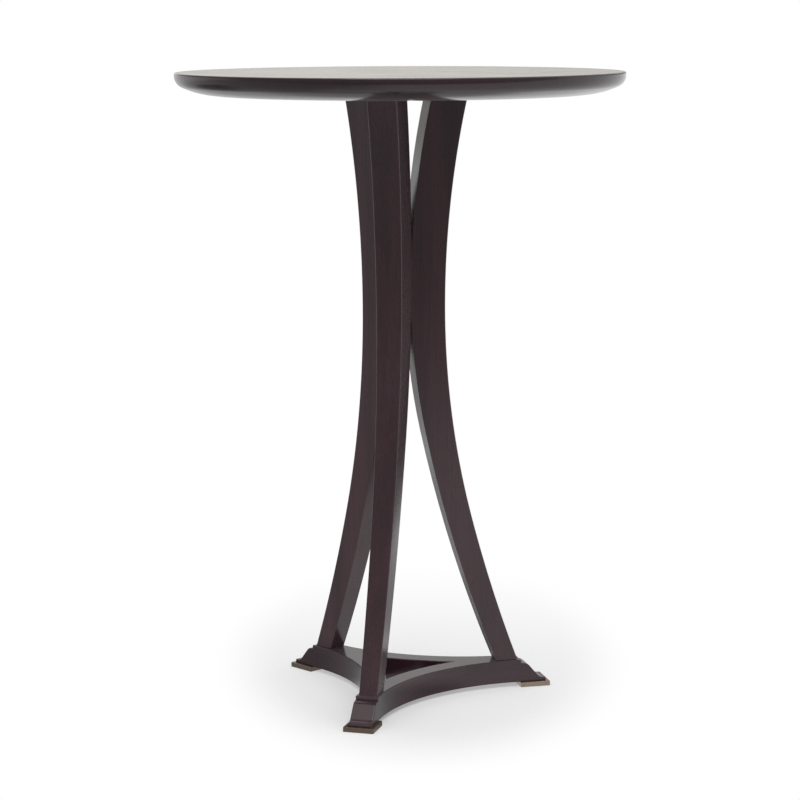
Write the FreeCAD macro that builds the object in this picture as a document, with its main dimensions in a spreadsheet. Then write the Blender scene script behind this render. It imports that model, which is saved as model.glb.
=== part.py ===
import FreeCAD, Part
import math
import os
import Sketcher

# A round side table. Three curved legs stand on a three-cornered base with brass pads, close
# against each other at the waist and open again under a round top with a thin, swept-under edge.
# Millimetres, Z up, origin on the floor under the middle of the top. One leg points to -Y.

DRIVING_SIZES = {
    # The top: a veneered core inside a ring of solid edging
    "table_height": 648,
    "top_diameter": 457,
    "top_thickness": 22.5,
    "edge_band": 3.3,
    "edge_sweep": 44,
    "edge_turn": 12.2,
    "edging_flat": 8,
    "top_edge_radius": 1.5,
    "veneer": 0.6,
    # The steel plate that ties the legs to the top
    "plate_thickness": 4,
    "plate_margin": 8,
    "plate_play": 0.25,
    # The legs: thickness seen from the front, depth from the middle outwards
    "leg_top_thickness": 31.2,
    "leg_foot_thickness": 19.3,
    "leg_depth": 36.62,
    "leg_edge_radius": 1.4,
    "waist_mitre": 0.45,
    "waist_gap": 0.1,
    # The leg's outer face: an arc above the waist, one below it and a flatter one to the foot
    "outer_waist_height": 411,
    "outer_top_arc": 980,
    "outer_waist_arc": 879,
    "outer_knee_drop": 223,
    "outer_foot_arc": 1508,
    # The leg's inner face has the same three arcs: they end at these depths inside the outer face,
    # and the kick is how far the foot lies outside the line that the knee points along
    "inner_waist_rise": 14,
    "inner_knee_drop": 150,
    "leg_top_depth": 38.4,
    "leg_foot_depth": 23.08,
    "inner_foot_kick": 24.12,
    # The block that the legs are glued round at the waist
    "block_radius": 11.5,
    "block_margin": 9.5,
    "glue_gap": 0.15,
    "waist_dowel_pitch": 11,
    # The base: feet with an ogee end, joined by curved rails
    "base_height": 24,
    "rail_width": 21,
    "foot_reveal": 2.25,
    "ledge_reveal": 3.55,
    "ledge_drop": 3.85,
    "ledge_step": 2,
    "ogee_reach": 22.9,
    "ogee_swell_ratio": 0.6,
    "toe_height": 3.4,
    "toe_lip": 2,
    "arc_inset": 8,
    "base_edge_radius": 1,
    # The brass pads
    "pad_thickness": 5,
    "pad_depth": 32,
    "pad_overhang": 3.85,
    "pad_edge_radius": 0.6,
    # Dowels, one stock size, and how much deeper each hole is than what goes in it
    "hole_end_play": 1,
    "dowel_diameter": 6,
    "dowel_length": 30,
    "dowel_bevel": 0.8,
    "dowel_play": 0.1,
    "leg_dowel_spacing": 9,
    "rail_dowel_spacing": 11,
    # Countersunk slotted screws, their heads just below the face
    "screw_rim": 0.4,
    "screw_play": 0.1,
    "screw_recess": 0.3,
    "slot_width": 1,
    "slot_depth": 1.2,
    "pad_screw_head": 7.5,
    "pad_screw_shank": 4,
    "pad_screw_length": 15,
    "pad_screw_spacing": 11,
    "pad_screw_inset": 8,
    "top_screw_head": 9,
    "top_screw_shank": 4.5,
    "top_screw_cover": 6.2,
    "top_screw_edge": 10,
    "top_screw_fan_angle": 15,
    "leg_screw_head": 9,
    "leg_screw_shank": 5,
    "leg_screw_length": 45,
    "leg_screw_spacing": 13,
}

LEG_SIDES = ("front", "right", "left")
RAIL_SIDES = ("right", "rear", "left")  # each rail runs from the leg of the same number to the next
FRONT_ANGLE = -90  # where the front leg points, counted from +X
HALF_ANGLE = 60  # from a leg to the plane halfway to the next one
LEG_ANGLES = {side: FRONT_ANGLE + 2 * HALF_ANGLE * number for number, side in enumerate(LEG_SIDES)}
RAIL_ANGLES = {side: angle + HALF_ANGLE for side, angle in zip(RAIL_SIDES, LEG_ANGLES.values())}
EDGING_PIECES = 6
WAIST_DOWELS = 2 * len(LEG_ANGLES)
SPARE = 10  # how far a cutting outline reaches past what it cuts
NEAR = 0.1  # edges nearer than this to a face lie on it


WORKED_SIZES = {
    "underside": "table_height - top_thickness",
    "base_top": "pad_thickness + base_height",
    # The under-curve of the edge: a tight arc and a wide one that share a tangent
    "top_radius": "top_diameter / 2",
    "edge_drop": "top_thickness - edge_band",
    "under_square": "edge_sweep^2 + edge_drop^2 - 2 * edge_sweep * edge_turn",
    "under_arc": "under_square / (2 * (edge_drop - edge_turn))",
    "turn_share": "edge_turn / (under_arc - edge_turn)",
    "meet_radius": "top_radius - edge_turn + turn_share * (edge_sweep - edge_turn)",
    "meet_height": "table_height - edge_band + turn_share * (edge_drop - under_arc)",
    "veneer_edge": "top_radius - top_edge_radius + sqrt(top_edge_radius^2 - (top_edge_radius - veneer)^2)",
    "core_radius": "top_radius - edge_sweep - edging_flat",
    # At the waist the inner corners reach the planes halfway between the legs and are planed flat
    "leg_taper": "(leg_top_thickness - leg_foot_thickness) / (underside - base_top)",
    "waist_thickness": "leg_foot_thickness + leg_taper * (inner_waist_height - base_top)",
    "inner_waist": f"waist_thickness / (2 * tan({HALF_ANGLE})) - waist_mitre",
    "mitre_start": f"waist_gap / (2 * sin({HALF_ANGLE}))",
    "outer_waist": "inner_waist + leg_depth",
    # The outer face, from its arcs to where it ends
    "outer_rise": "underside - outer_waist_height",
    "outer_top": "outer_waist + outer_top_arc - sqrt(outer_top_arc^2 - outer_rise^2)",
    "outer_knee_height": "outer_waist_height - outer_knee_drop",
    "outer_knee_run": "sqrt(outer_waist_arc^2 - outer_knee_drop^2)",
    "outer_knee": "outer_waist + outer_waist_arc - outer_knee_run",
    "outer_centre": "outer_knee + outer_foot_arc * outer_knee_run / outer_waist_arc",
    "outer_centre_height": "outer_knee_height + outer_foot_arc * outer_knee_drop / outer_waist_arc",
    "outer_fall": "outer_centre_height - base_top",
    "outer_foot": "outer_centre - sqrt(outer_foot_arc^2 - outer_fall^2)",
    # The inner face, from where it ends to its arcs
    "inner_waist_height": "outer_waist_height + inner_waist_rise",
    "inner_rise": "underside - inner_waist_height",
    "inner_top": "outer_top - leg_top_depth",
    "inner_flare": "inner_top - inner_waist",
    "inner_top_arc": "(inner_flare^2 + inner_rise^2) / (2 * inner_flare)",
    "inner_foot": "outer_foot - leg_foot_depth",
    "inner_knee_height": "inner_waist_height - inner_knee_drop",
    "shin": "inner_knee_height - base_top",
    "inner_spread": "inner_foot - inner_waist",
    "half_slope": "(inner_spread - inner_foot_kick) / (inner_knee_drop + 2 * shin)",
    "slope_cos": "(1 - half_slope^2) / (1 + half_slope^2)",
    "slope_sin": "2 * half_slope / (1 + half_slope^2)",
    "inner_waist_arc": "inner_knee_drop / slope_sin",
    "inner_knee": "inner_waist + inner_knee_drop * half_slope",
    "shin_run": "inner_foot - inner_knee",
    "shin_bow": "shin_run * slope_cos - shin * slope_sin",
    "inner_foot_arc": "(shin_run^2 + shin^2) / (2 * shin_bow)",
    "inner_centre": "inner_knee + inner_foot_arc * slope_cos",
    "inner_centre_height": "inner_knee_height + inner_foot_arc * slope_sin",
    "plate_radius": "outer_top + plate_margin",
    "plate_seat": "plate_radius + plate_play",
    "top_screw_length": "top_thickness - screw_recess - top_screw_cover",
    # Each waist dowel goes through the block as far as the narrow side between the other two legs
    "dowel_radius": "dowel_diameter / 2",
    "dowel_hole": "dowel_radius + dowel_play",
    "hole_reach": f"2 * (inner_waist - glue_gap - dowel_hole * sin({HALF_ANGLE}))",
    "waist_dowel_middle": "dowel_length / 2 - hole_reach + hole_end_play",
    "waist_dowel_rise": f"waist_dowel_pitch * {WAIST_DOWELS - 1}",
    "block_height": "waist_dowel_rise + dowel_diameter + 2 * block_margin",
    # The foot's sides run straight from the toe, then into the hollow side of the base
    "foot_width": "leg_foot_thickness + 2 * foot_reveal",
    "ledge": "outer_foot + ledge_reveal",
    "toe": "ledge + ledge_step + ogee_reach + toe_lip",
    "arc_start": "ledge - arc_inset",
    "arc_offset": f"arc_start * tan({HALF_ANGLE})",
    "arc_middle": f"arc_start / cos({HALF_ANGLE})",
    "side_arc": "arc_offset - foot_width / 2",
    "inner_arc": "side_arc + rail_width",
    "dowel_arc": "side_arc + rail_width / 2",
    # Foot and rail meet square to the arc, at the corner of the opening in the base
    "joint_cos": "arc_offset / inner_arc",
    "joint_sin": "sqrt(1 - joint_cos^2)",
    "rail_cos": f"sin({HALF_ANGLE}) * joint_cos + cos({HALF_ANGLE}) * joint_sin",
    "rail_sin": f"cos({HALF_ANGLE}) * joint_cos - sin({HALF_ANGLE}) * joint_sin",
    # The ogee: two equal arcs with a straight slope between them
    "ledge_level": "base_top - ledge_drop",
    "toe_level": "pad_thickness + toe_height",
    "ogee_drop": "ledge_level - toe_level",
    "ogee_tan": "(1 + ogee_swell_ratio) * ogee_drop / ogee_reach",
    "ogee_cos": "1 / sqrt(1 + ogee_tan^2)",
    "ogee_sin": "ogee_tan * ogee_cos",
    "ogee_arc": "(ogee_reach * ogee_sin - ogee_drop * ogee_cos) / (2 * (1 - ogee_cos))",
    "pad_width": "foot_width + 2 * pad_overhang",
    "pad_outer": "toe + pad_overhang",
    "pad_inner": "pad_outer - pad_depth",
}

Y_AXIS = FreeCAD.Vector(0, 1, 0)
Z_AXIS = FreeCAD.Vector(0, 0, 1)

doc = FreeCAD.newDocument("side_table")
dims = doc.addObject("Spreadsheet::Sheet", "dims")
for row, (name, value) in enumerate(DRIVING_SIZES.items(), start=1):
    dims.set(f"A{row}", str(value))
    dims.setAlias(f"A{row}", name)
for row, name in enumerate(WORKED_SIZES, start=1):
    dims.setAlias(f"B{row}", name)
for row, formula in enumerate(WORKED_SIZES.values(), start=1):
    dims.set(f"B{row}", "=" + formula)
doc.recompute()

pieces = []


def size(name):
    return float(getattr(dims, name))


def worked(expression):
    return float(dims.evalExpression(expression))


def of_sheet(expression):
    """The same expression with each size read from the sheet."""
    names = {*DRIVING_SIZES, *WORKED_SIZES}
    words = []
    for word in expression.split():
        bare = word.strip("()-")
        words.append(word.replace(bare, f"dims.{bare}") if bare in names else word)
    return " ".join(words)


def origin_plane(body, role):
    return next(feature for feature in body.Origin.OriginFeatures if feature.Role == role)


def new_body(name):
    return doc.addObject("PartDesign::Body", name)


def new_sketch(body, name, role):
    sketch = body.newObject("Sketcher::SketchObject", name)
    sketch.AttachmentSupport = [(origin_plane(body, role), "")]
    sketch.MapMode = "FlatFace"
    return sketch


def fix_point(sketch, edge, end, spot):
    """Tie one end of an edge to a place that the sheet gives."""
    for kind, expression in zip(("DistanceX", "DistanceY"), spot):
        bound = of_sheet(expression)
        index = sketch.addConstraint(Sketcher.Constraint(kind, edge, end, worked(bound)))
        sketch.setExpression(f"Constraints[{index}]", bound)


def outline(sketch, *path):
    """A closed outline. Each entry is a point, x and y, and before an arc also its radius and its
    hand: 1 where the arc turns left on the way to the next point, -1 where it turns right."""
    spots = []
    for step in path:
        x, y = (worked(of_sheet(expression)) for expression in step[:2])
        spots.append(FreeCAD.Vector(x, y, 0))
    ends = []
    for index, step in enumerate(path):
        start, stop = spots[index], spots[(index + 1) % len(path)]
        if len(step) == 2:
            edge = sketch.addGeometry(Part.LineSegment(start, stop))
            ends.append((edge, 1, 2))
            continue
        radius, hand = worked(of_sheet(step[2])), step[3]
        chord = stop - start
        left = FreeCAD.Vector(-chord.y, chord.x, 0).normalize()
        sagitta = radius - math.sqrt(radius**2 - (chord.Length / 2) ** 2)
        middle = (start + stop) * 0.5 - left * (hand * sagitta)
        edge = sketch.addGeometry(Part.Arc(start, middle, stop))
        index_of_radius = sketch.addConstraint(Sketcher.Constraint("Radius", edge, radius))
        sketch.setExpression(f"Constraints[{index_of_radius}]", of_sheet(step[2]))
        ends.append((edge, 1, 2) if hand > 0 else (edge, 2, 1))
    for index, step in enumerate(path):
        edge, head, _ = ends[index]
        previous, _, tail = ends[index - 1]
        sketch.addConstraint(Sketcher.Constraint("Coincident", previous, tail, edge, head))
        fix_point(sketch, edge, head, step[:2])


def turned(name, *path, angle=360):
    """A body turned about Z from an outline of radius and height, centred on its X axis."""
    body = new_body(name)
    sketch = new_sketch(body, name + "_section", "XZ_Plane")
    outline(sketch, *path)
    turning = body.newObject("PartDesign::Revolution", name + "_turning")
    turning.Profile = sketch
    turning.ReferenceAxis = (sketch, ["V_Axis"])
    turning.Angle = angle
    turning.Midplane = angle < 360
    sketch.Visibility = False
    return body


def pad(body, sketch, length, midplane=False):
    feature = body.newObject("PartDesign::Pad", sketch.Name + "_pad")
    feature.Profile = sketch
    feature.Midplane = midplane
    feature.setExpression("Length", of_sheet(length))


def pocket_through(body, sketch):
    """Cut the outline right through the body, both ways from its plane."""
    feature = body.newObject("PartDesign::Pocket", sketch.Name + "_cut")
    feature.Profile = sketch
    feature.Type = "ThroughAll"
    feature.Midplane = True
    return feature


def ease(body, radius, wanted):
    """Round the edges that wanted picks."""
    doc.recompute()
    base = body.Tip
    names = [f"Edge{number}" for number, edge in enumerate(base.Shape.Edges, start=1) if wanted(edge)]
    feature = body.newObject("PartDesign::Fillet", body.Name + "_arris")
    feature.Base = (base, names)
    feature.setExpression("Radius", of_sheet(radius))


def spun(azimuth):
    return FreeCAD.Placement(FreeCAD.Vector(), FreeCAD.Rotation(Z_AXIS, azimuth))


def at(x, y, z, spin=0, tilt=0):
    """A place for something that points up: tipped towards +X by tilt, then turned about Z."""
    turn = FreeCAD.Rotation(Z_AXIS, spin) * FreeCAD.Rotation(Y_AXIS, tilt)
    return FreeCAD.Placement(FreeCAD.Vector(x, y, z), turn)


def group(name, placed):
    """Copies of master pieces, each at its own place, as separate solids."""
    copies = []
    for number, (master, place) in enumerate(placed, start=1):
        copy = doc.addObject("App::Link", f"{name}_{number}")
        copy.LinkedObject = master
        copy.Placement = place
        copies.append(copy)
    compound = doc.addObject("Part::Compound", name)
    compound.Links = copies
    return compound


def bored(body, holes, label, place):
    """The body with its holes cut, as a finished piece at its place in the table."""
    cut = doc.addObject("Part::Cut", label)
    cut.Base = body
    cut.Tool = group(label + "_holes", holes)
    finished(cut, label, place)


def finished(piece, label, place=None):
    piece.Label = label
    if place is not None:
        piece.Placement = place
    pieces.append(piece)


# Dowels and screws, each with the hole it goes in
def make_dowel(name, radius, extra):
    half = "dowel_length / 2"
    low = f"- {half} - {extra}"
    high = f"{half} + {extra}"
    return turned(
        name,
        ("0", low),
        (f"{radius} - dowel_bevel", low),
        (radius, f"{low} + dowel_bevel"),
        (radius, f"{high} - dowel_bevel"),
        (f"{radius} - dowel_bevel", high),
        ("0", high),
    )


def screw_path(kind, play, mouth, end):
    head = f"{kind}_screw_head / 2 + {play}"
    shank = f"{kind}_screw_shank / 2 + {play}"
    neck = f"screw_rim + ( {kind}_screw_head - {kind}_screw_shank ) / 2"
    tip = f"{kind}_screw_length + {end}"
    return (
        ("0", mouth),
        (head, mouth),
        (head, "screw_rim"),
        (shank, neck),
        (shank, f"{tip} - {kind}_screw_shank"),
        ("0", tip),
    )


def make_screw(kind):
    """A screw that points up from the middle of its head, with a slot across the head."""
    name = kind + "_screw"
    body = turned(name, *screw_path(kind, "0", "0", "0"))
    slot = new_sketch(body, name + "_slot", "YZ_Plane")
    outline(
        slot,
        ("- slot_width / 2", f"0 - {SPARE}"),
        ("slot_width / 2", f"0 - {SPARE}"),
        ("slot_width / 2", "slot_depth"),
        ("- slot_width / 2", "slot_depth"),
    )
    pocket_through(body, slot)
    return body


def make_screw_hole(kind):
    mouth = f"0 - screw_recess - {SPARE}"
    return turned(kind + "_screw_hole", *screw_path(kind, "screw_play", mouth, "hole_end_play"))


dowel = make_dowel("dowel", "dowel_radius", "0")
dowel_hole = make_dowel("dowel_bore", "dowel_hole", "hole_end_play")
screws = {kind: make_screw(kind) for kind in ("pad", "top", "leg")}
screw_holes = {kind: make_screw_hole(kind) for kind in screws}
doc.recompute()


# Places of the fasteners, in the frame of one leg or foot whose X axis points outwards
def leg_face(face, height):
    """How far out the inner or outer face of the leg is at a height."""
    if height < size(f"{face}_knee_height"):
        arc = size(f"{face}_foot_arc")
        centre = size(f"{face}_centre")
        level = size(f"{face}_centre_height")
    else:
        level = size(f"{face}_waist_height")
        arc = size(f"{face}_waist_arc" if height < level else f"{face}_top_arc")
        centre = size(f"{face}_waist") + arc
    return centre - math.sqrt(arc**2 - (level - height) ** 2)


def leg_middle(height):
    return (leg_face("outer", height) + leg_face("inner", height)) / 2


half_in_leg = size("dowel_length") / 2
leg_dowel_along = leg_middle(size("base_top") + half_in_leg / 2)
leg_dowel_places = [
    at(leg_dowel_along, side * size("leg_dowel_spacing") / 2, size("base_top")) for side in (-1, 1)
]
leg_screw_head_level = size("underside") + size("plate_thickness") - size("screw_recess")
leg_screw_along = leg_middle(leg_screw_head_level - size("leg_screw_length") / 2)
leg_screw_places = [
    at(leg_screw_along + side * size("leg_screw_spacing") / 2, 0, leg_screw_head_level, tilt=180)
    for side in (-1, 1)
]
pad_screw_along = size("pad_inner") + size("pad_screw_inset")
pad_screw_places = [
    at(pad_screw_along, side * size("pad_screw_spacing") / 2, size("screw_recess")) for side in (-1, 1)
]
top_screw_along = size("plate_radius") - size("top_screw_edge")
top_screw_level = size("underside") + size("screw_recess")
top_screw_places = [
    spun(azimuth + fan * size("top_screw_fan_angle")) * at(top_screw_along, 0, top_screw_level)
    for azimuth in RAIL_ANGLES.values()
    for fan in (-1, 1)
]


def waist_dowel_places(leg_number):
    """The dowels of one leg at the waist. They lie one above the other, each leg's in turn."""
    lowest = size("inner_waist_height") - size("waist_dowel_rise") / 2
    counts = range(leg_number, WAIST_DOWELS, len(LEG_ANGLES))
    heights = [lowest + count * size("waist_dowel_pitch") for count in counts]
    return [at(size("waist_dowel_middle"), 0, height, tilt=90) for height in heights]


def rail_dowel_places(side):
    """The two dowels across the joint on one side of a foot: side 1 is the way azimuth grows."""
    angle = math.degrees(math.acos(size("joint_cos")))
    along = size("arc_start") - size("dowel_arc") * size("joint_sin")
    across = side * (size("arc_offset") - size("dowel_arc") * size("joint_cos"))
    middle = size("pad_thickness") + size("base_height") / 2
    offsets = (-size("rail_dowel_spacing") / 2, size("rail_dowel_spacing") / 2)
    return [at(along, across, middle + offset, spin=-side * angle, tilt=90) for offset in offsets]


# The top
core = turned(
    "core_board",
    ("0", "underside + plate_thickness"),
    ("plate_seat", "underside + plate_thickness"),
    ("plate_seat", "underside + veneer"),
    ("core_radius", "underside + veneer"),
    ("core_radius", "table_height - veneer"),
    ("0", "table_height - veneer"),
)
bored(core, [(screw_holes["top"], place) for place in top_screw_places], "top_core", FreeCAD.Placement())

finished(
    turned(
        "face_veneer",
        ("0", "table_height - veneer"),
        ("veneer_edge", "table_height - veneer", "top_edge_radius", 1),
        ("top_radius - top_edge_radius", "table_height"),
        ("0", "table_height"),
    ),
    "top_veneer",
)

finished(
    turned(
        "backing_veneer",
        ("plate_seat", "underside"),
        ("core_radius", "underside"),
        ("core_radius", "underside + veneer"),
        ("plate_seat", "underside + veneer"),
    ),
    "underside_veneer",
)

for number in range(1, EDGING_PIECES + 1):
    edging = turned(
        f"edging_{number}",
        ("core_radius", "underside"),
        ("top_radius - edge_sweep", "underside", "under_arc", 1),
        ("meet_radius", "meet_height", "edge_turn", 1),
        ("top_radius", "table_height - edge_band"),
        ("top_radius", "table_height - top_edge_radius", "top_edge_radius", 1),
        ("veneer_edge", "table_height - veneer"),
        ("core_radius", "table_height - veneer"),
        angle=360 / EDGING_PIECES,
    )
    finished(edging, f"top_edging_{number}", spun(360 / EDGING_PIECES * number))

# The mounting plate and its screws
plate = turned(
    "plate_disc",
    ("0", "underside"),
    ("plate_radius", "underside"),
    ("plate_radius", "underside + plate_thickness"),
    ("0", "underside + plate_thickness"),
)
leg_screw_spots = [spun(azimuth) * place for azimuth in LEG_ANGLES.values() for place in leg_screw_places]
plate_holes = [(screw_holes["top"], place) for place in top_screw_places]
plate_holes += [(screw_holes["leg"], place) for place in leg_screw_spots]
bored(plate, plate_holes, "mounting_plate", FreeCAD.Placement())
top_screws = [(screws["top"], place) for place in top_screw_places]
leg_screws = [(screws["leg"], place) for place in leg_screw_spots]
finished(group("plate_top_screws", top_screws), "plate_top_screws")
finished(group("plate_leg_screws", leg_screws), "plate_leg_screws")


# The legs
def half_thickness(height):
    return f"( leg_foot_thickness + leg_taper * ( {height} - base_top ) ) / 2"


def outer_corner(edge):
    """True of the long edges beside the leg's outer face."""
    middle = edge.valueAt((edge.FirstParameter + edge.LastParameter) / 2)
    halfway = (leg_face("outer", middle.z) + leg_face("inner", middle.z)) / 2
    return edge.BoundBox.ZLength > size("leg_edge_radius") and middle.x > halfway


def make_leg(side, number, azimuth):
    """Sawn to its side profile, tapered towards the foot, mitred where it touches the other legs
    and eased along its outer corners."""
    body = new_body(f"leg_blank_{side}")
    profile = new_sketch(body, f"leg_profile_{side}", "XZ_Plane")
    outline(
        profile,
        ("outer_foot", "base_top", "outer_foot_arc", -1),
        ("outer_knee", "outer_knee_height", "outer_waist_arc", -1),
        ("outer_waist", "outer_waist_height", "outer_top_arc", -1),
        ("outer_top", "underside"),
        ("inner_top", "underside", "inner_top_arc", 1),
        ("inner_waist", "inner_waist_height", "inner_waist_arc", 1),
        ("inner_knee", "inner_knee_height", "inner_foot_arc", 1),
        ("inner_foot", "base_top"),
    )
    pad(body, profile, "leg_top_thickness + leg_foot_thickness", midplane=True)
    taper = new_sketch(body, f"leg_taper_{side}", "YZ_Plane")
    low, high = f"base_top - {SPARE}", f"underside + {SPARE}"
    wide = "leg_top_thickness + leg_foot_thickness"
    outline(taper, (half_thickness(low), low), (wide, low), (wide, high), (half_thickness(high), high))
    outline(
        taper,
        (f"- {half_thickness(low)}", low),
        (f"- {half_thickness(high)}", high),
        (f"- ( {wide} )", high),
        (f"- ( {wide} )", low),
    )
    pocket_through(body, taper)
    mitre = new_sketch(body, f"leg_mitre_{side}", "XY_Plane")
    spread = f"leg_top_thickness * tan({HALF_ANGLE})"
    outline(
        mitre,
        ("mitre_start", "0"),
        ("mitre_start + leg_top_thickness", spread),
        ("- leg_top_thickness", spread),
        ("- leg_top_thickness", f"- {spread}"),
        ("mitre_start + leg_top_thickness", f"- {spread}"),
    )
    pocket_through(body, mitre)
    ease(body, "leg_edge_radius", outer_corner)
    holes = [(dowel_hole, place) for place in leg_dowel_places + waist_dowel_places(number)]
    holes += [(screw_holes["leg"], place) for place in leg_screw_places]
    bored(body, holes, f"leg_{side}", spun(azimuth))


for number, (side, azimuth) in enumerate(LEG_ANGLES.items()):
    make_leg(side, number, azimuth)

# The block at the waist, hollowed on three sides to the inner faces of the legs
block_body = new_body("block_round")
block_plan = new_sketch(block_body, "block_plan", "XY_Plane")
block_plan.setExpression("AttachmentOffset.Base.z", of_sheet("inner_waist_height - block_height / 2"))
ring = block_plan.addGeometry(Part.Circle(FreeCAD.Vector(), Z_AXIS, size("block_radius")))
block_plan.addConstraint(Sketcher.Constraint("Coincident", ring, 3, -1, 1))
ring_size = block_plan.addConstraint(Sketcher.Constraint("Radius", ring, size("block_radius")))
block_plan.setExpression(f"Constraints[{ring_size}]", of_sheet("block_radius"))
pad(block_body, block_plan, "block_height")
hollow = new_sketch(block_body, "block_hollow", "XZ_Plane")
reach = f"( block_height / 2 + {SPARE} )"


def hollow_edge(arc):
    return f"inner_waist + {arc} - sqrt( ( {arc} + glue_gap ) ^ 2 - {reach} ^ 2 )"


outline(
    hollow,
    (hollow_edge("inner_waist_arc"), f"inner_waist_height - {reach}", "inner_waist_arc + glue_gap", -1),
    ("inner_waist - glue_gap", "inner_waist_height", "inner_top_arc + glue_gap", -1),
    (hollow_edge("inner_top_arc"), f"inner_waist_height + {reach}"),
    (f"block_radius + {SPARE}", f"inner_waist_height + {reach}"),
    (f"block_radius + {SPARE}", f"inner_waist_height - {reach}"),
)
hollow_cut = pocket_through(block_body, hollow)
doc.recompute()
hollow_ring = block_body.newObject("PartDesign::PolarPattern", "block_hollow_ring")
hollow_ring.Originals = [hollow_cut]
hollow_ring.Axis = (origin_plane(block_body, "Z_Axis"), [""])
hollow_ring.Angle = 360
hollow_ring.Occurrences = len(LEG_ANGLES)
block_body.Tip = hollow_ring
waist_spots = [
    spun(2 * HALF_ANGLE * number) * place
    for number in range(len(LEG_ANGLES))
    for place in waist_dowel_places(number)
]
first_leg = spun(LEG_ANGLES["front"])
bored(block_body, [(dowel_hole, place) for place in waist_spots], "waist_block", first_leg)
finished(group("waist_dowels", [(dowel, first_leg * place) for place in waist_spots]), "waist_dowels")


# The feet
def level_sketch(body, name):
    """A plan at the height where the base stands on its pads."""
    sketch = new_sketch(body, name, "XY_Plane")
    sketch.setExpression("AttachmentOffset.Base.z", of_sheet("pad_thickness"))
    return sketch


def on_top(edge):
    return edge.BoundBox.ZMin > size("base_top") - NEAR


def moulded_edge(edge):
    """True of the foot's upper edges and of those beside its ogee, but not at its joints."""
    middle = edge.valueAt((edge.FirstParameter + edge.LastParameter) / 2)
    beside = abs(abs(middle.y) - size("foot_width") / 2) < NEAR
    down_ogee = beside and middle.x > size("ledge") and edge.BoundBox.ZMin > size("pad_thickness")
    shoulder = size("arc_start") - size("side_arc") * size("joint_sin")
    return down_ogee or (on_top(edge) and middle.x > shoulder + size("base_edge_radius"))


def make_foot(side, azimuth):
    """A block that points outwards, with an ogee end and hollow sides that run on into the rails."""
    body = new_body(f"foot_blank_{side}")
    plan = level_sketch(body, f"foot_plan_{side}")
    shoulder = ("arc_start - side_arc * joint_sin", "arc_offset - side_arc * joint_cos")
    outline(
        plan,
        ("arc_start - inner_arc * joint_sin", "0"),
        (shoulder[0], f"- ( {shoulder[1]} )", "side_arc", -1),
        ("arc_start", "- foot_width / 2"),
        ("toe", "- foot_width / 2"),
        ("toe", "foot_width / 2"),
        ("arc_start", "foot_width / 2", "side_arc", -1),
        shoulder,
    )
    pad(body, plan, "base_height")
    ogee = new_sketch(body, f"foot_ogee_{side}", "XZ_Plane")
    bend_drop = "ogee_arc * ( 1 - ogee_cos )"
    high_bend = ("ledge + ledge_step + ogee_arc * ogee_sin", f"ledge_level - {bend_drop}")
    low_bend = ("toe - toe_lip - ogee_arc * ogee_sin", f"toe_level + {bend_drop}")
    outline(
        ogee,
        ("ledge", f"base_top + {SPARE}"),
        ("ledge", "ledge_level"),
        ("ledge + ledge_step", "ledge_level", "ogee_arc", -1),
        high_bend,
        (low_bend[0], low_bend[1], "ogee_arc", 1),
        ("toe - toe_lip", "toe_level"),
        (f"toe + {SPARE}", "toe_level"),
        (f"toe + {SPARE}", f"base_top + {SPARE}"),
    )
    pocket_through(body, ogee)
    ease(body, "base_edge_radius", moulded_edge)
    dowel_places = leg_dowel_places + rail_dowel_places(1) + rail_dowel_places(-1)
    holes = [(dowel_hole, place) for place in dowel_places]
    holes += [(screw_holes["pad"], place) for place in pad_screw_places]
    bored(body, holes, f"foot_{side}", spun(azimuth))


for side, azimuth in LEG_ANGLES.items():
    make_foot(side, azimuth)


# The rails
def make_rail(side, azimuth):
    """A curved bar from foot to foot, drawn with its middle on the X axis."""
    body = new_body(f"rail_blank_{side}")
    plan = level_sketch(body, f"rail_plan_{side}")
    near = ("arc_middle - side_arc * rail_cos", "side_arc * rail_sin")
    far = ("arc_middle - inner_arc * rail_cos", "inner_arc * rail_sin")
    outline(
        plan,
        (far[0], far[1], "inner_arc", 1),
        (far[0], f"- ( {far[1]} )"),
        (near[0], f"- ( {near[1]} )", "side_arc", -1),
        near,
    )
    pad(body, plan, "base_height")
    ease(body, "base_edge_radius", lambda edge: on_top(edge) and isinstance(edge.Curve, Part.Circle))
    places = [spun(-HALF_ANGLE) * place for place in rail_dowel_places(1)]
    places += [spun(HALF_ANGLE) * place for place in rail_dowel_places(-1)]
    bored(body, [(dowel_hole, place) for place in places], f"base_rail_{side}", spun(azimuth))


for side, azimuth in RAIL_ANGLES.items():
    make_rail(side, azimuth)

rail_dowel_spots = [
    spun(azimuth) * place
    for azimuth in LEG_ANGLES.values()
    for way in (1, -1)
    for place in rail_dowel_places(way)
]
leg_dowel_spots = [spun(azimuth) * place for azimuth in LEG_ANGLES.values() for place in leg_dowel_places]
finished(group("rail_dowels", [(dowel, place) for place in rail_dowel_spots]), "rail_dowels")
finished(group("leg_dowels", [(dowel, place) for place in leg_dowel_spots]), "leg_dowels")


# The brass pads
def make_pad(side, azimuth):
    body = new_body(f"pad_blank_{side}")
    plan = new_sketch(body, f"pad_plan_{side}", "XY_Plane")
    outline(
        plan,
        ("pad_inner", "- pad_width / 2"),
        ("pad_outer", "- pad_width / 2"),
        ("pad_outer", "pad_width / 2"),
        ("pad_inner", "pad_width / 2"),
    )
    pad(body, plan, "pad_thickness")
    ease(body, "pad_edge_radius", lambda edge: edge.BoundBox.ZMax > size("pad_thickness") / 2)
    holes = [(screw_holes["pad"], place) for place in pad_screw_places]
    bored(body, holes, f"foot_pad_{side}", spun(azimuth))


for side, azimuth in LEG_ANGLES.items():
    make_pad(side, azimuth)

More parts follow.
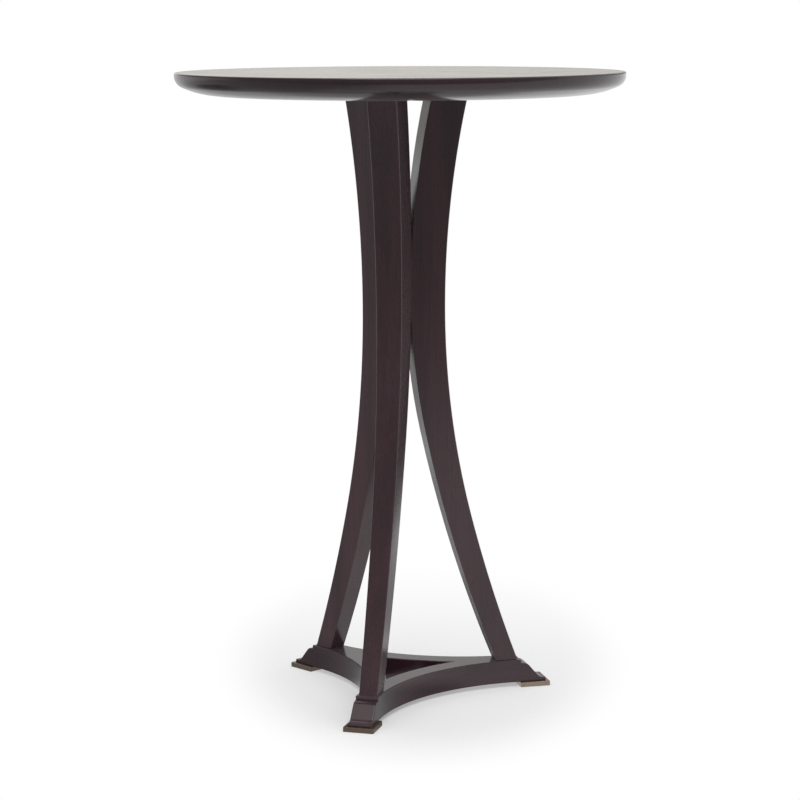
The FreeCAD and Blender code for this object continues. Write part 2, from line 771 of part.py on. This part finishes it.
pad_screw_spots = [spun(azimuth) * place for azimuth in LEG_ANGLES.values() for place in pad_screw_places]
pad_screws = [(screws["pad"], place) for place in pad_screw_spots]
finished(group("foot_pad_screws", pad_screws), "foot_pad_screws")

# Check everything, then write one file for each piece
doc.recompute()
faults = [item.Name for item in doc.Objects if {"Invalid", "Error"} & set(item.State)]
faults += [piece.Label for piece in pieces if piece.Shape.isNull() or not piece.Shape.isValid()]
if faults:
    raise RuntimeError("These did not build: " + ", ".join(faults))
os.makedirs("parts", exist_ok=True)
for piece in pieces:
    piece.Shape.exportStep(f"parts/{piece.Label}.step")
    box = piece.Shape.optimalBoundingBox(False)
    solids, volume = len(piece.Shape.Solids), piece.Shape.Volume / 1000
    heights = f"z {box.ZMin:7.2f} to {box.ZMax:7.2f}"
    print(f"{piece.Label:18s} solids {solids:2d}  volume {volume:8.2f} cm3  {heights}")
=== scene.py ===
# %% [markdown]
# # A dark round side table
#
# The table has a thin round top with a swept-under edge, curved legs that touch at the waist,
# and a hollow-sided base on small brass pads. Its shapes are already exact in the solids, so
# this lesson is about looks: the finish of each material, the floor, the light and the camera.
# The pieces could be modelled again by hand, but that would only come close, so the solids
# themselves are dressed. They keep their places and their meshes.

# %% Load the solids
import math

import bpy
from mathutils import Matrix, Vector

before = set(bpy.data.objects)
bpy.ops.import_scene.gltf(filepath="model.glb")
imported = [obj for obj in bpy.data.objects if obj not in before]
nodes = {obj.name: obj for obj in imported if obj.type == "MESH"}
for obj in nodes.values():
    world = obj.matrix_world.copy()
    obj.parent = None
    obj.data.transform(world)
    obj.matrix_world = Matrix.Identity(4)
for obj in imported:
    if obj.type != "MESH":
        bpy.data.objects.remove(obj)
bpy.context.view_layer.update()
scene = bpy.context.scene
scene.view_settings.view_transform = "Standard"


def rounded(point):
    return [round(value, 4) for value in point]


# %% [markdown]
# ## The camera
#
# The table is seen from a little above the top, slightly to the right of the front leg, through a
# long lens. A camera can be turned by hand until the picture looks right, but small errors stay.
# These numbers come from fitting a plain pinhole camera to the round top, the feet and the pads.
# A long lens far away keeps the legs almost parallel, which a short one would not.

# %% Set the camera
CAMERA_TURN = math.radians(16.11)
CAMERA_AWAY = 2.5672
CAMERA_HEIGHT = 0.7167
CAMERA_ASIDE = -0.00113
CAMERA_DIP = math.radians(8.98)
CAMERA_ROLL = math.radians(-0.181)
FOCAL_PIXELS = 2512.5
PICTURE_PIXELS = 800
SENSOR_WIDTH = 36  # millimetres

upward = Vector((0, 0, 1))
right = Vector((math.cos(CAMERA_TURN), math.sin(CAMERA_TURN), 0))
level = Vector((-math.sin(CAMERA_TURN), math.cos(CAMERA_TURN), 0))
forward = level * math.cos(CAMERA_DIP) - upward * math.sin(CAMERA_DIP)
up = right.cross(forward)
across = right * math.cos(CAMERA_ROLL) + up * math.sin(CAMERA_ROLL)
upright = up * math.cos(CAMERA_ROLL) - right * math.sin(CAMERA_ROLL)

bpy.ops.object.select_all(action="DESELECT")
bpy.ops.object.camera_add()
camera = bpy.context.object
camera.data.sensor_width = SENSOR_WIDTH
camera.data.lens = SENSOR_WIDTH * FOCAL_PIXELS / PICTURE_PIXELS
camera.matrix_world = Matrix((across, upright, -forward)).transposed().to_4x4()
camera.location = right * CAMERA_ASIDE - level * CAMERA_AWAY + upward * CAMERA_HEIGHT
scene.camera = camera
print("camera at", rounded(camera.location), "with a lens of", round(camera.data.lens, 1), "mm")

# %% [markdown]
# ## Sums on sockets
#
# A finish is a small network of nodes. The nodes could be added and wired one by one, but then
# the idea is lost among the wires. Written as plain sums it is easy to read, so one class wraps a
# socket, and its plus, minus and times add the Math nodes. A second class holds the network of
# one finish. Its first method adds any other kind of node, and the rest are the few steps that
# come back in every finish.


# %% A socket that can be added and multiplied
class Value:
    """One output socket of a finish. Sums with it add Math nodes."""

    def __init__(self, finish, socket):
        self.finish = finish
        self.socket = socket

    def sum_of(self, operation, first, second):
        return self.finish.node("ShaderNodeMath", {"operation": operation}, {0: first, 1: second})

    def __add__(self, other):
        return self.sum_of("ADD", self, other)

    def __radd__(self, other):
        return self.sum_of("ADD", other, self)

    def __sub__(self, other):
        return self.sum_of("SUBTRACT", self, other)

    def __rsub__(self, other):
        return self.sum_of("SUBTRACT", other, self)

    def __mul__(self, other):
        return self.sum_of("MULTIPLY", self, other)

    def __rmul__(self, other):
        return self.sum_of("MULTIPLY", other, self)


class Finish:
    """The node network of one material, or of the world."""

    def __init__(self, tree):
        self.tree = tree

    def node(self, kind, settings=None, inputs=None, output=0):
        made = self.tree.nodes.new(kind)
        for name, setting in (settings or {}).items():
            setattr(made, name, setting)
        for name, value in (inputs or {}).items():
            if isinstance(value, Value):
                self.tree.links.new(value.socket, made.inputs[name])
            else:
                made.inputs[name].default_value = value
        return Value(self, made.outputs[output])

    def place(self):
        """Where a point lies on the piece."""
        return self.node("ShaderNodeTexCoord", output="Object")

    def marks(self, size, start=0.0, turn=0.0):
        """The place on the piece, counted in marks of this size, shifted and turned round the upright."""
        return self.node(
            "ShaderNodeMapping",
            {"vector_type": "TEXTURE"},
            {
                "Vector": self.place(),
                "Location": (start, start, start),
                "Rotation": (0, 0, turn),
                "Scale": size,
            },
        )

    def noise(self, where, detail):
        return self.node("ShaderNodeTexNoise", inputs={"Vector": where, "Scale": 1.0, "Detail": detail})

    def between(self, value, low, high):
        """0 below low, 1 above high, and a soft rise from one to the other."""
        return self.node(
            "ShaderNodeMapRange",
            {"interpolation_type": "SMOOTHSTEP"},
            {"Value": value, "From Min": low, "From Max": high},
        )

    def blend(self, share, first, second):
        """From the first colour to the second."""
        return self.node("ShaderNodeMix", {"data_type": "RGBA"}, {0: share, 6: first, 7: second}, output=2)

    def along(self, where, direction):
        """How far a place or a direction reaches along another direction."""
        return self.node(
            "ShaderNodeVectorMath",
            {"operation": "DOT_PRODUCT"},
            {0: where, 1: direction},
            output="Value",
        )

    def edges(self, radius):
        """0 on flat faces, and more where the surface turns within the radius."""
        eased = self.node("ShaderNodeBevel", {"samples": 6}, {"Radius": radius})
        plain = self.node("ShaderNodeNewGeometry", output="Normal")
        return 1 - self.along(eased, plain)

    def relief(self, height, strength, depth):
        """Marks too shallow to be modelled, for the shader's normal."""
        return self.node(
            "ShaderNodeBump",
            inputs={"Strength": strength, "Distance": depth, "Height": height},
        )


def new_finish(name):
    material = bpy.data.materials.new(name)
    material.use_nodes = True
    return material, Finish(material.node_tree), material.node_tree.nodes["Principled BSDF"]


def feed(shader, values):
    """Set or link the sockets of a surface shader."""
    for name, value in values.items():
        if isinstance(value, Value):
            value.finish.tree.links.new(value.socket, shader.inputs[name])
        else:
            shader.inputs[name].default_value = value


print("a finish can now be written as sums")

# %% [markdown]
# ## Dark lacquered wood
#
# The legs, the base and the top are a straight-grained brown wood, stained nearly black and
# sprayed with a satin lacquer. Up close the stain is a little redder along some fibres, fine
# pores run with the grain, and it is thinner where the edges were sanded round. A picture of wood
# could be wrapped around each piece, but it would show its seams and repeat itself. A pattern
# that follows the place in the wood does neither. It is laid out in sizes of the real marks, long
# with the grain and narrow across it, so a board can be turned to run along its own piece.

# %% Make the lacquered wood
STAIN_DARK = (0.0220, 0.0085, 0.0118)
STAIN_RED = (0.0400, 0.0150, 0.0210)
STAIN_PORE = (0.0080, 0.0032, 0.0044)
STAIN_THIN = (0.0480, 0.0210, 0.0240)
FIGURE = (0.40, 0.020)  # how long and how wide each kind of mark is, in metres
FIBRE = (0.12, 0.0012)
PORE = (0.008, 0.0005)
SHEEN_CLOUD = (0.06, 0.06)
LACQUER_RIPPLE = (0.003, 0.003)
SANDED_EDGE = 0.0022


def lacquered_wood(name, grain_turn=0.0, standing=False, start=0.0, polish=0.14, clear=1.0):
    """Stained wood under lacquer. With a higher clear, the stain is lighter and redder; on the left leg
    that is painted light.
    """
    material, finish, shader = new_finish(name)

    def grain(mark, detail):
        length, width = mark
        size = (width, width, length) if standing else (length, width, width)
        return finish.noise(finish.marks(size, start, grain_turn), detail)

    # The stain scaled by clear, which on the left leg is painted light.
    def stain(colour):
        return tuple(part * clear for part in colour) + (1,)

    figure = grain(FIGURE, detail=2)
    fibre = grain(FIBRE, detail=3)
    pores = finish.between(grain(PORE, detail=1), 0.58, 0.72)
    sheen = grain(SHEEN_CLOUD, detail=1)
    ripple = grain(LACQUER_RIPPLE, detail=1)
    sanded = finish.between(finish.edges(SANDED_EDGE), 0.02, 0.25)

    tone = finish.between(figure * 0.55 + fibre * 0.45, 0.34, 0.66)
    colour = finish.blend(tone, stain(STAIN_DARK), stain(STAIN_RED))
    colour = finish.blend(pores * 0.6, colour, stain(STAIN_PORE))
    colour = finish.blend(sanded * 0.2, colour, stain(STAIN_THIN))
    height = fibre * 0.2 + ripple * 0.2 - pores * 0.15
    feed(shader, {
        "Base Color": colour,
        "Roughness": polish + sheen * 0.06 + fibre * 0.04 + pores * 0.08,
        "Normal": finish.relief(height, strength=0.4, depth=0.00002),
        "Sheen Weight": 0.12,
        "Sheen Roughness": 0.4,
    })
    return material


print("lacquered wood can be made for any piece")

# %% [markdown]
# ## The wooden pieces
#
# Every board of the real table was cut on its own, so no two show the same stretch of grain, and
# each took the stain a little differently. The left leg's stain is lighter and redder as painted
# light, for light falling on it from the left. One material could serve them all, but then the grain
# would run straight through the joints. So each piece has its own, with upright grain in the legs
# and grain along the feet, the rails and the edging. The edging has the darkest stain and the
# highest polish.

# %% Dress the wooden pieces
LEG_TURNS = {"front": -90, "right": 30, "left": 150}  # degrees, counted from +X
RAIL_TURNS = {"right": -30, "rear": 90, "left": 210}
QUARTER_TURN = 90
# Painted light: the left leg's higher value makes its stain lighter and redder, for light falling on it
# from the left.
LEG_CLEAR_AND_PAINTED_LIGHT = {"front": 1.08, "right": 1.0, "left": 1.4}
BOARD_SHIFT = 0.001  # metres along the pattern for each degree of turn
VENEER_TURN = 106
VENEER_POLISH = 0.12
EDGING_PIECES = 6
EDGING_STEP = 360 / EDGING_PIECES
EDGING_SHIFT = 0.1
EDGING_POLISH = 0.10
EDGING_CLEAR = 0.55


def dress(material, *names):
    """Give a material to the solids with these names."""
    for name in names:
        for slot in nodes[name].material_slots:
            slot.material = material


veneer = lacquered_wood("lacquered_veneer", math.radians(VENEER_TURN), polish=VENEER_POLISH)
dress(veneer, "top_veneer", "underside_veneer")
for number in range(1, EDGING_PIECES + 1):
    edging = lacquered_wood(
        f"lacquered_edging_{number}",
        math.radians(EDGING_STEP * number + QUARTER_TURN),
        start=EDGING_SHIFT * number,
        polish=EDGING_POLISH,
        clear=EDGING_CLEAR,
    )
    dress(edging, f"top_edging_{number}")
for side, turn in LEG_TURNS.items():
    start = BOARD_SHIFT * turn
    leg = lacquered_wood(f"lacquered_leg_{side}", standing=True, start=start, clear=LEG_CLEAR_AND_PAINTED_LIGHT[side])
    foot = lacquered_wood(f"lacquered_foot_{side}", math.radians(turn), start=start)
    dress(leg, f"leg_{side}")
    dress(foot, f"foot_{side}")
for side, turn in RAIL_TURNS.items():
    rail_turn = math.radians(turn + QUARTER_TURN)
    rail = lacquered_wood(f"lacquered_rail_{side}", rail_turn, start=BOARD_SHIFT * turn)
    dress(rail, f"base_rail_{side}")
dress(lacquered_wood("stained_block", standing=True), "waist_block")
lacquered = [name for name, node in nodes.items() if "lacquered" in node.data.materials[0].name]
print(len(lacquered), "pieces are lacquered:", ", ".join(sorted(lacquered)))

# %% [markdown]
# ## Aged brass
#
# Each foot stands on a flat brass pad. The metal is dulled brown, a little uneven, and rubbed
# brighter along its edges. A metal has no colour of its own under the reflection, so a brown
# layer mixed over it would look like paint. The patina is put into the base colour and the
# roughness together instead: where it is browner it is also duller.

# %% Make the aged brass
BRASS_BRIGHT = (0.460, 0.370, 0.300, 1)
BRASS_DULL = (0.270, 0.215, 0.175, 1)
BRASS_BROWN = (0.130, 0.095, 0.076, 1)
PATINA_CLOUD = (0.009, 0.009, 0.009)
ROLLING_LINE = (0.020, 0.020, 0.0003)
PATINA_SPECK = (0.0012, 0.0012, 0.0012)
WORN_EDGE = 0.0008
# Patina for each pad; the left pad's low value is painted light, leaving it less brown and brighter for
# light from the left.
PAD_PATINA_AND_PAINTED_LIGHT = {"front": 0.22, "right": -0.08, "left": -0.20}
SCREW_START = 0.5
SCREW_PATINA = 0.1


def aged_brass(name, start, patina_and_painted_light):
    material, finish, shader = new_finish(name)
    clouds = finish.noise(finish.marks(PATINA_CLOUD, start), detail=3)
    lines = finish.noise(finish.marks(ROLLING_LINE, start), detail=2)
    specks = finish.noise(finish.marks(PATINA_SPECK, start), detail=1)
    specks = finish.between(specks, 0.62, 0.75)
    worn = finish.between(finish.edges(WORN_EDGE), 0.02, 0.3)
    brown = finish.between(clouds + patina_and_painted_light, 0.42, 0.70)
    colour = finish.blend(brown, BRASS_DULL, BRASS_BROWN)
    colour = finish.blend(specks * 0.4, colour, BRASS_BROWN)
    colour = finish.blend(worn * 0.8, colour, BRASS_BRIGHT)
    height = lines * 0.4 + clouds * 0.3 - specks * 0.3
    feed(shader, {
        "Base Color": colour,
        "Metallic": 1.0,
        "Roughness": 0.36 + brown * 0.14 + specks * 0.1 - worn * 0.08,
        "Normal": finish.relief(height, strength=0.4, depth=0.00004),
    })
    return material


for side, patina_and_painted_light in PAD_PATINA_AND_PAINTED_LIGHT.items():
    dress(aged_brass(f"aged_brass_{side}", BOARD_SHIFT * LEG_TURNS[side], patina_and_painted_light), f"foot_pad_{side}")
dress(aged_brass("aged_brass_screws", SCREW_START, SCREW_PATINA), "foot_pad_screws")
print(len(PAD_PATINA_AND_PAINTED_LIGHT), "brass pads and their screws are dressed")

# %% [markdown]
# ## Plated steel
#
# The plate that ties the legs to the top, and its screws, are zinc-plated steel. They show only
# from below. A plain grey metal would pass at a distance, but zinc has faint crystal patches and
# the sheet keeps the fine lines of its rolling, and both take only a few nodes.

# %% Make the plated steel
ZINC_PALE = (0.58, 0.58, 0.56, 1)
ZINC_DARK = (0.40, 0.41, 0.41, 1)
ZINC_CRYSTAL = (0.006, 0.006, 0.006)
SHEET_LINE = (0.05, 0.0004, 0.0004)


def plated_steel(name):
    material, finish, shader = new_finish(name)
    crystals = {"Vector": finish.marks(ZINC_CRYSTAL), "Scale": 1.0}
    patches = finish.node("ShaderNodeTexVoronoi", inputs=crystals, output="Color")
    patch = finish.node("ShaderNodeSeparateColor", inputs={"Color": patches}, output="Red")
    rolling = finish.noise(finish.marks(SHEET_LINE), detail=2)
    feed(shader, {
        "Base Color": finish.blend(patch * 0.6 + rolling * 0.3, ZINC_DARK, ZINC_PALE),
        "Metallic": 1.0,
        "Roughness": 0.32 + patch * 0.12 + rolling * 0.08,
        "Normal": finish.relief(rolling, strength=0.3, depth=0.00002),
    })
    return material


dress(plated_steel("plated_steel"), "mounting_plate", "plate_top_screws", "plate_leg_screws")
print("steel plate and screws are dressed")

# %% [markdown]
# ## The wood that is never seen
#
# The core of the top and the dowels stay as bare wood inside the joints. They could be left grey,
# but a library part can be taken to pieces, so they get a real finish too: pressed chips for the
# core, and pale straight fibres for the dowels.

# %% Make the bare wood
CHIP_PALE = (0.52, 0.36, 0.20, 1)
CHIP_DARK = (0.28, 0.17, 0.085, 1)
CHIP = (0.006, 0.003, 0.003)
BEECH_PALE = (0.60, 0.40, 0.235, 1)
BEECH_FLECK = (0.36, 0.205, 0.105, 1)
FLECK = (0.004, 0.0012, 0.0012)
SMALL_SHARE = 0.25


def bare_wood(name, pale, dark, mark):
    material, finish, shader = new_finish(name)
    large = finish.noise(finish.marks(mark), detail=3)
    small_mark = tuple(side * SMALL_SHARE for side in mark)
    small = finish.noise(finish.marks(small_mark), detail=2)
    tone = finish.between(large * 0.6 + small * 0.4, 0.36, 0.64)
    feed(shader, {
        "Base Color": finish.blend(tone, pale, dark),
        "Roughness": 0.62 + small * 0.2,
        "Normal": finish.relief(small, strength=0.6, depth=0.0001),
    })
    return material


dress(bare_wood("chip_core", CHIP_PALE, CHIP_DARK, CHIP), "top_core")
beech = bare_wood("beech_dowels", BEECH_PALE, BEECH_FLECK, FLECK)
dress(beech, "waist_dowels", "rail_dowels", "leg_dowels")
print("core and dowels are dressed")

# %% [markdown]
# ## The floor
#
# The table stands on a pale floor that runs out into white, with soft shade around the base. Strong
# lamps could burn a plain floor out to white, but they would wash out the lacquer as well. So the
# floor has a plain pale surface that takes the shade, and away from the table it changes into a
# white that only the camera and clear things see, and that lights nothing. The change follows a
# long rounded patch, which reaches further behind the table than before it. So the grey patch is
# partly painted shade: its outline and its paling towards the back are set by the place, and
# within it the pale surface shows the real shade.

# %% Lay the floor
FLOOR_SIZE = 400.0
FLOOR_PALE = (0.75, 0.75, 0.75, 1)
PATCH_RIGHT = 0.023  # middle of the shaded patch, in metres from the middle of the table
PATCH_BACK = 0.188
PATCH_NARROWING = 0.483  # width of the patch for each metre that it is long
PATCH_CORE = 0.152
PATCH_REACH = 0.2375
WHITE_FROM = -0.5  # going back, the patch itself pales from here until it is white
WHITE_TO = 0.72

bpy.ops.object.select_all(action="DESELECT")
bpy.ops.mesh.primitive_plane_add(size=FLOOR_SIZE)
floor = bpy.context.object
floor.name = "floor"
floor_material, ground, floor_shader = new_finish("pale_floor")
floor.data.materials.append(floor_material)
feed(floor_shader, {"Base Color": FLOOR_PALE, "Roughness": 0.9, "Specular IOR Level": 0.0})

place = ground.place()
aside = ground.along(place, right)
back = ground.along(place, level)
# Painted shade: the outline of the grey patch and its paling towards the back are set by the place on the
# floor.
patch_aside = aside - PATCH_RIGHT
patch_back = (back - PATCH_BACK) * PATCH_NARROWING
patch_squared = patch_aside * patch_aside + patch_back * patch_back
away = ground.node("ShaderNodeMath", {"operation": "SQRT"}, {0: patch_squared})
paled = ground.between(back, WHITE_FROM, WHITE_TO)
runs_out = paled + (1 - paled) * ground.between(away, PATCH_CORE, PATCH_REACH)
print("floor laid,", FLOOR_SIZE, "m across")

# %% [markdown]
# ## The floor in the lacquer
#
# Dark lacquer has little colour of its own and shows mostly what it mirrors. The floor of a studio
# is not evenly bright: it dims to the left and towards the camera, and lies in shade around the
# table. Screens could be stood about to shade it, but each would show from some other side. So the
# mirrored floor gets painted shade from the place, with a few soft round spots of painted shadow
# and one lighter spot, and only rays that come off a glossy surface meet it.

# %% Shade the mirrored floor
WHITE = (1, 1, 1, 1)
# Painted shade for the mirrored floor: the greys it takes to the left and towards the camera.
PAINTED_SHADE_LEFT = (0.48, 0.48, 0.48, 1)
PAINTED_SHADE_NEAR = (0.32, 0.32, 0.32, 1)
LEFT_FROM, LEFT_TO = -0.1, 0.6
LEFT_LOSS = 0.6  # how much of the dimming on the left is lost far behind the table
FAR_FROM, FAR_TO = 1.0, 3.2
NEAR_FROM, NEAR_TO = -0.9, -2.0
# Soft round spots of painted shade in the mirrored floor; behind the table it is the table's painted
# shadow, and under the base a lighter spot.
PAINTED_SHADE_SPOTS = {  # metres to the right and back, inner and outer radius, and the grey
    "wide on the left": (-0.95, 0.65, 0.20, 0.60, 0.12),
    "left of the base": (-0.42, 0.07, 0.08, 0.24, 0.45),
    "behind the table": (-0.06, 0.46, 0.255, 0.51, 0.42),
    "light under the base": (0.02, 0.05, 0.12, 0.24, 0.95),
    "at the rear rail": (0.055, 0.16, 0.05, 0.075, 0.12),
    "behind the rear rail": (0.0, 0.27, 0.06, 0.10, 0.25),
    "at the left rail": (-0.135, 0.08, 0.055, 0.11, 0.36),
    "at the front foot": (0.03, -0.075, 0.05, 0.10, 0.36),
}

looked_at = ground.node("ShaderNodeLightPath", output="Is Camera Ray")
mirrored = ground.node("ShaderNodeLightPath", output="Is Glossy Ray")
shown_through = ground.node("ShaderNodeLightPath", output="Is Transmission Ray")
left_side = ground.between(ground.along(place, -right), LEFT_FROM, LEFT_TO)
left_side = left_side * (1 - LEFT_LOSS * ground.between(back, FAR_FROM, FAR_TO))
near_side = 1 - ground.between(back, NEAR_TO, NEAR_FROM)
# Paint the shade into what glossy rays see of the floor.
shade = ground.blend(left_side * mirrored, WHITE, PAINTED_SHADE_LEFT)
shade = ground.blend(near_side * mirrored, shade, PAINTED_SHADE_NEAR)
for spot_right, spot_back, core, reach, grey in PAINTED_SHADE_SPOTS.values():
    beside = aside - spot_right
    beyond = back - spot_back
    spot = 1 - ground.between(beside * beside + beyond * beyond, core**2, reach**2)
    shade = ground.blend(spot * mirrored, shade, (grey, grey, grey, 1))

# Camera rays and rays through glass see white here; glossy rays see the painted shade.
white_and_painted_shade = ground.node("ShaderNodeEmission", inputs={"Color": shade, "Strength": 1.0})
surface = Value(ground, floor_shader.outputs["BSDF"])
share = runs_out * (looked_at + shown_through) + mirrored
seen = ground.node("ShaderNodeMixShader", inputs={0: share, 1: surface, 2: white_and_painted_shade})
ground.tree.links.new(seen.socket, ground.tree.nodes["Material Output"].inputs["Surface"])
print(len(PAINTED_SHADE_SPOTS), "soft spots in the mirrored floor")

# %% [markdown]
# ## The light
#
# The light is soft and comes from all around, as in a studio with pale walls. A ring of lamps could
# give it, but each would leave its own bright mark on the lacquer. So most of it is the glow of
# the room itself: dim all round, and brighter behind the table, to the right, overhead and above
# the camera. Low down the wall is a little warm, which shows in the flat of the top. At the far
# edge of the floor the room is plain white, so that the two meet unseen.

# %% Light the studio
ROOM_GLOW = 0.27
WALL_GLOW = 0.74
WINDOW_GLOW = 0.50
FRONT_GLOW = 0.24
OVERHEAD_GLOW = 0.95
WALL_WARM = (1.0, 0.965, 0.90, 1)
WALL_TURN = math.radians(8)
FRONT_RISE = math.radians(35)

world = bpy.data.worlds.new("studio")
world.use_nodes = True
world.node_tree.nodes.clear()
scene.world = world
studio = Finish(world.node_tree)
towards = studio.node("ShaderNodeTexCoord", output="Generated")
height = studio.along(towards, upward)
wall_side = level * math.cos(WALL_TURN) - right * math.sin(WALL_TURN)
front_side = upward * math.sin(FRONT_RISE) - level * math.cos(FRONT_RISE)
wall = studio.between(studio.along(towards, wall_side), 0.90, 1.0)
window = studio.between(studio.along(towards, right), 0.5, 1.0)
front = studio.between(studio.along(towards, front_side), 0.5, 1.0)
overhead = studio.between(height, 0.3, 0.9)
glow = ROOM_GLOW + wall * WALL_GLOW + window * WINDOW_GLOW + front * FRONT_GLOW + overhead * OVERHEAD_GLOW
skyline = 1 - studio.between(height, 0.005, 0.03)
glow = glow + skyline * (1 - glow)
low_on_wall = wall * studio.between(height, 0.003, 0.02) * (1 - studio.between(height, 0.08, 0.20))
colour = studio.blend(low_on_wall, WHITE, WALL_WARM)
light = studio.node("ShaderNodeBackground", inputs={"Color": colour, "Strength": glow})
sky = world.node_tree.nodes.new("ShaderNodeOutputWorld")
world.node_tree.links.new(light.socket, sky.inputs["Surface"])
print("the room glows", ROOM_GLOW, "all round and", OVERHEAD_GLOW, "more overhead")

# %% [markdown]
# ## The lamp
#
# The shade under the base has a direction, which a glow from all around doesn't give. A small lamp
# would throw a hard shadow, so this one is a wide panel, weak, and high before the table.

# %% Hang the lamp
LAMP_AWAY = 1.1
LAMP_HEIGHT = 2.1
LAMP_WIDTH = 1.4
LAMP_DEPTH = 1.0
LAMP_WATTS = 15
LAMP_AIM = Vector((0, 0, 0.2))

bpy.ops.object.select_all(action="DESELECT")
bpy.ops.object.light_add(type="AREA", location=upward * LAMP_HEIGHT - level * LAMP_AWAY)
lamp = bpy.context.object
lamp.data.shape = "RECTANGLE"
lamp.data.size = LAMP_WIDTH
lamp.data.size_y = LAMP_DEPTH
lamp.data.energy = LAMP_WATTS
lamp.rotation_euler = (LAMP_AIM - lamp.location).to_track_quat("-Z", "Y").to_euler()
print("lamp of", LAMP_WATTS, "W at", rounded(lamp.location))
